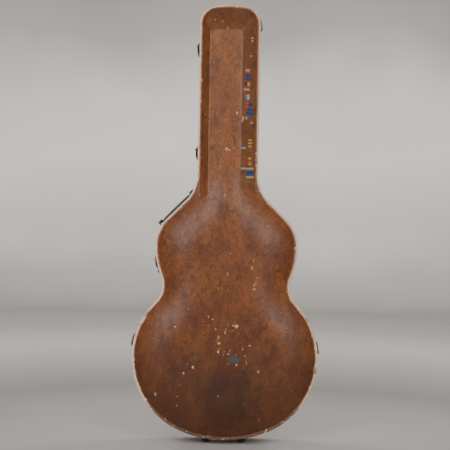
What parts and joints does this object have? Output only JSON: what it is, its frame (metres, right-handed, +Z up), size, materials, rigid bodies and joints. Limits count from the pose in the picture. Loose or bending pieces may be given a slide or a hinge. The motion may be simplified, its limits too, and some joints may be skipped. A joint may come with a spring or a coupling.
{
  "type": "guitar case",
  "caption": "Hard-shell case for a large-bodied guitar: arched hinged lid, hasp latches, folding handle, plush-lined inside with neck rest and string box.",
  "frame": {"origin": "on the floor under the middle of the case as it stands on its tail feet", "axes": "+Z up the neck, +Y from the lid to the back, +X to the hinge side, latches at -X"},
  "size_m": [0.4883, 0.14, 1.13],
  "materials": {
    "leatherette_shell": "plywood under bonded red-brown leatherette, mottled and worn",
    "edge_binding": "pale tan stitched strip, scuffed",
    "tongue": "dark painted plywood lip",
    "plush": "wine-red plush",
    "cloth_tape": "woven cloth tape",
    "leather_tab": "brown leather tab",
    "rubber_feet": "matte black",
    "screws": "aged, slightly rusty",
    "hinge_steel": "tarnished plated steel",
    "latch_metal": "aged brass plate",
    "rivets": "aged brass",
    "handle_fittings": "worn black enamel",
    "handle_cover": "dark grey-green wrapped strap, polished by use"
  },
  "bodies": {
    "base": {"base_back_panel": "leatherette_shell", "base_rim": "leatherette_shell", "base_tongue": "tongue", "base_binding": "edge_binding", "wall_lining": "plush", "floor_pad": "plush", "head_pad": "plush", "tail_pad": "plush", "neck_rest": "plush", "string_box_wall": "plush", "string_box_cleat_left": "plush", "string_box_cleat_right": "plush", "string_box_hinge_tape": "cloth_tape", "tail_foot_front_left": "rubber_feet", "tail_foot_front_right": "rubber_feet", "tail_foot_back_left": "rubber_feet", "tail_foot_back_right": "rubber_feet", "foot_screws": "screws", "hinge_upper_base_leaf": "hinge_steel", "hinge_lower_base_leaf": "hinge_steel", "hinge_upper_pin": "hinge_steel", "hinge_lower_pin": "hinge_steel", "hinge_base_screws": "screws", "latch_1_plate": "latch_metal", "latch_2_plate": "latch_metal", "latch_3_plate": "latch_metal", "latch_4_plate": "latch_metal", "hasp_pins": "latch_metal", "latch_rivets": "rivets", "lock_cylinder": "latch_metal", "handle_bracket_upper": "handle_fittings", "handle_bracket_lower": "handle_fittings", "handle_pins": "handle_fittings", "handle_rivets": "rivets"},
    "lid": {"lid_rim": "leatherette_shell", "lid_panel": "leatherette_shell", "lid_binding": "edge_binding", "lid_lining": "plush", "hinge_upper_lid_leaf": "hinge_steel", "hinge_lower_lid_leaf": "hinge_steel", "hinge_lid_screws": "screws", "latch_1_keeper": "latch_metal", "latch_2_keeper": "latch_metal", "latch_3_keeper": "latch_metal", "latch_4_keeper": "latch_metal", "keeper_rivets": "rivets"},
    "hasp_1": {"latch_1_hasp": "latch_metal"},
    "slider_1": {"latch_1_slider": "latch_metal"},
    "hasp_2": {"latch_2_hasp": "latch_metal"},
    "slider_2": {"latch_2_slider": "latch_metal"},
    "hasp_3": {"latch_3_hasp": "latch_metal"},
    "slider_3": {"latch_3_slider": "latch_metal"},
    "hasp_4": {"latch_4_hasp": "latch_metal"},
    "slider_4": {"latch_4_slider": "latch_metal"},
    "handle": {"handle_grip": "handle_cover", "handle_core": "handle_fittings", "handle_end_upper": "handle_fittings", "handle_end_lower": "handle_fittings"},
    "flap": {"string_box_flap": "plush", "flap_pull_tab": "leather_tab"}
  },
  "joints": [
    {"name": "lid_hinge", "type": "hinge", "parent": "base", "child": "lid", "pos_m": [0.08047, -0.016, 1.08474], "axis": [-0.1876, 0, 0.9822], "range_deg": [0, 180]},
    {"name": "handle_fold", "type": "hinge", "parent": "base", "child": "handle", "pos_m": [-0.1362, 0.024, 0.60824], "axis": [0.7071, 0, 0.7071], "range_deg": [0, 170]},
    {"name": "string_box_flap_hinge", "type": "hinge", "parent": "base", "child": "flap", "pos_m": [0, 0.0228, 0.7836], "axis": [-1, 0, 0], "range_deg": [0, 95]},
    {"name": "hasp_1_hinge", "type": "hinge", "parent": "base", "child": "hasp_1", "pos_m": [-0.0807, 0.0065, 1.0157], "axis": [0, 0, -1], "range_deg": [0, 120]},
    {"name": "slider_1_slide", "type": "slide", "parent": "base", "child": "slider_1", "axis": [0, 0, 1], "range_m": [0, 0.0045], "stiffness_N_per_m": 200},
    {"name": "hasp_2_hinge", "type": "hinge", "parent": "base", "child": "hasp_2", "pos_m": [-0.0807, 0.0065, 0.747], "axis": [0, 0, -1], "range_deg": [0, 120]},
    {"name": "slider_2_slide", "type": "slide", "parent": "base", "child": "slider_2", "axis": [0, 0, 1], "range_m": [0, 0.0045], "stiffness_N_per_m": 200},
    {"name": "hasp_3_hinge", "type": "hinge", "parent": "base", "child": "hasp_3", "pos_m": [-0.17965, 0.0065, 0.46108], "axis": [0.2285, 0, -0.9735], "range_deg": [0, 120]},
    {"name": "slider_3_slide", "type": "slide", "parent": "base", "child": "slider_3", "axis": [-0.2285, 0, 0.9735], "range_m": [0, 0.0045], "stiffness_N_per_m": 200},
    {"name": "hasp_4_hinge", "type": "hinge", "parent": "base", "child": "hasp_4", "pos_m": [-0.23864, 0.0065, 0.25907], "axis": [-0.173, 0, -0.9849], "range_deg": [0, 120]},
    {"name": "slider_4_slide", "type": "slide", "parent": "base", "child": "slider_4", "axis": [0.173, 0, 0.9849], "range_m": [0, 0.0045], "stiffness_N_per_m": 200}
  ]
}
